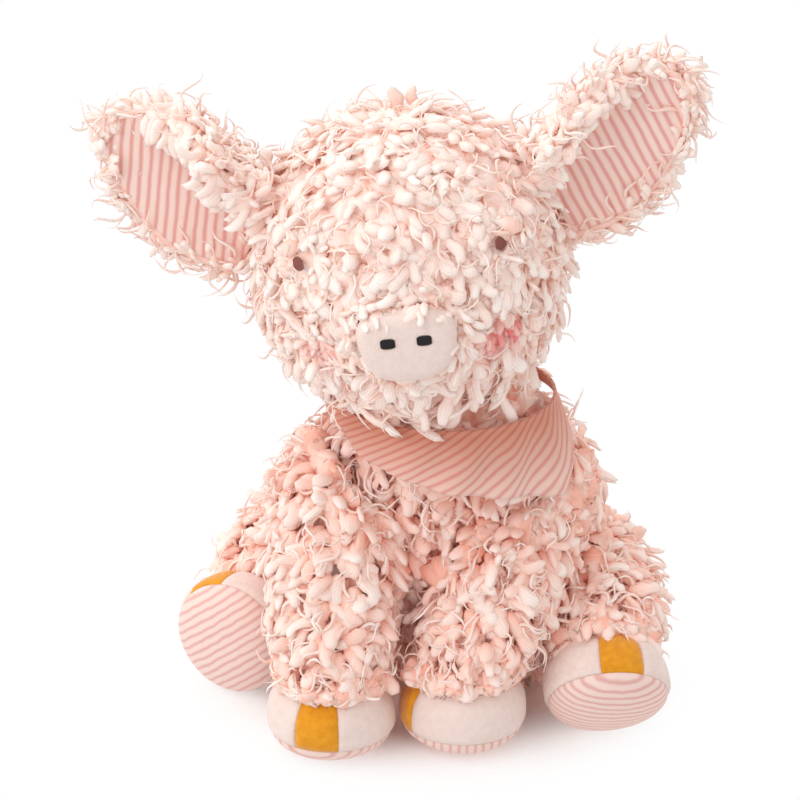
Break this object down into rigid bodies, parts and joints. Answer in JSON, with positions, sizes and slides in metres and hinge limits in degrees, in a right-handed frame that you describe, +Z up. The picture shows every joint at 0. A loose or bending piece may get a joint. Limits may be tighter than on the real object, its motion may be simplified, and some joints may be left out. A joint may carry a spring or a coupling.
{
  "type": "plush pig",
  "caption": "Seated soft toy pig with long curly fur, folded ears with striped linings, velvet feet with mustard toe wedges, a velvet snout and a striped neckerchief.",
  "frame": {"origin": "Middle of the flat seat on which the toy sits, on the floor plane.", "axes": "+Z is up, the toy faces -Y, and its own left side is +X."},
  "size_m": [0.1818, 0.1519, 0.2192],
  "materials": {
    "fur": "long curly knobbly plush pile, cream pink with salmon depths",
    "pale_velvet": "short velvet, very pale pink",
    "mustard_velvet": "short velvet, mustard yellow",
    "striped_velour": "velour with soft pink stripes on cream",
    "black_thread": "satin stitch in black thread",
    "brown_thread": "satin stitch in reddish brown thread",
    "blush_felt": "soft pink blush spot",
    "stuffing": "white polyester fibre filling",
    "pellet_bag_cloth": "plain calico bag of plastic pellets"
  },
  "bodies": {
    "torso": {"torso_skin": "fur", "torso_stuffing": "stuffing", "seat_pellet_bag": "pellet_bag_cloth", "neckerchief": "striped_velour", "neckerchief_knot": "striped_velour"},
    "head": {"head_skin": "fur", "head_stuffing": "stuffing", "eye_left": "brown_thread", "eye_right": "brown_thread", "cheek_left": "blush_felt", "cheek_right": "blush_felt", "snout_pad": "pale_velvet", "nostril_left": "black_thread", "nostril_right": "black_thread"},
    "ear_left": {"ear_back_left": "fur", "ear_lining_left": "striped_velour"},
    "ear_right": {"ear_back_right": "fur", "ear_lining_right": "striped_velour"},
    "front_leg_left": {"front_leg_left_skin": "fur", "front_leg_left_stuffing": "stuffing", "front_leg_left_foot_upper": "pale_velvet", "front_leg_left_toe_wedge": "mustard_velvet", "front_leg_left_sole": "striped_velour"},
    "front_leg_right": {"front_leg_right_skin": "fur", "front_leg_right_stuffing": "stuffing", "front_leg_right_foot_upper": "pale_velvet", "front_leg_right_toe_wedge": "mustard_velvet", "front_leg_right_sole": "striped_velour"},
    "hind_leg_left": {"hind_leg_left_skin": "fur", "hind_leg_left_stuffing": "stuffing", "hind_leg_left_foot_upper": "pale_velvet", "hind_leg_left_toe_wedge": "mustard_velvet", "hind_leg_left_sole": "striped_velour"},
    "hind_leg_right": {"hind_leg_right_skin": "fur", "hind_leg_right_stuffing": "stuffing", "hind_leg_right_foot_upper": "pale_velvet", "hind_leg_right_toe_wedge": "mustard_velvet", "hind_leg_right_sole": "striped_velour"},
    "tail": {"tail": "pale_velvet"}
  },
  "joints": [
    {"name": "neck_turn", "type": "hinge", "parent": "torso", "child": "head", "pos_m": [0.007, -0.024, 0.115], "axis": [0, 0, 1], "range_deg": [-30, 30], "stiffness_Nm_per_rad": 0.6},
    {"name": "ear_left_flop", "type": "hinge", "parent": "head", "child": "ear_left", "pos_m": [0.0399, -0.02873, 0.18246], "axis": [-0.5973, -0.0733, 0.7986], "range_deg": [-15, 15], "stiffness_Nm_per_rad": 0.02},
    {"name": "ear_right_flop", "type": "hinge", "parent": "head", "child": "ear_right", "pos_m": [-0.05074, -0.03986, 0.17124], "axis": [0.5112, 0.0628, 0.8572], "range_deg": [-15, 15], "stiffness_Nm_per_rad": 0.02},
    {"name": "shoulder_left_swing", "type": "hinge", "parent": "torso", "child": "front_leg_left", "pos_m": [0.03249, -0.02574, 0.078], "axis": [-0.908, -0.4191, 0], "range_deg": [0, 25], "stiffness_Nm_per_rad": 0.12},
    {"name": "shoulder_right_swing", "type": "hinge", "parent": "torso", "child": "front_leg_right", "pos_m": [-0.02451, -0.03744, 0.078], "axis": [-0.9707, 0.2402, 0], "range_deg": [0, 25], "stiffness_Nm_per_rad": 0.12},
    {"name": "hip_left_splay", "type": "hinge", "parent": "torso", "child": "hind_leg_left", "pos_m": [0.04576, 0.0039, 0.035], "axis": [0, 0, 1], "range_deg": [0, 25], "stiffness_Nm_per_rad": 0.15},
    {"name": "hip_right_splay", "type": "hinge", "parent": "torso", "child": "hind_leg_right", "pos_m": [-0.044, 0.00468, 0.035], "axis": [0, 0, -1], "range_deg": [0, 25], "stiffness_Nm_per_rad": 0.15},
    {"name": "tail_wag", "type": "hinge", "parent": "torso", "child": "tail", "pos_m": [0, 0.039, 0.03], "axis": [0, 0, 1], "range_deg": [-25, 25], "stiffness_Nm_per_rad": 0.004}
  ]
}
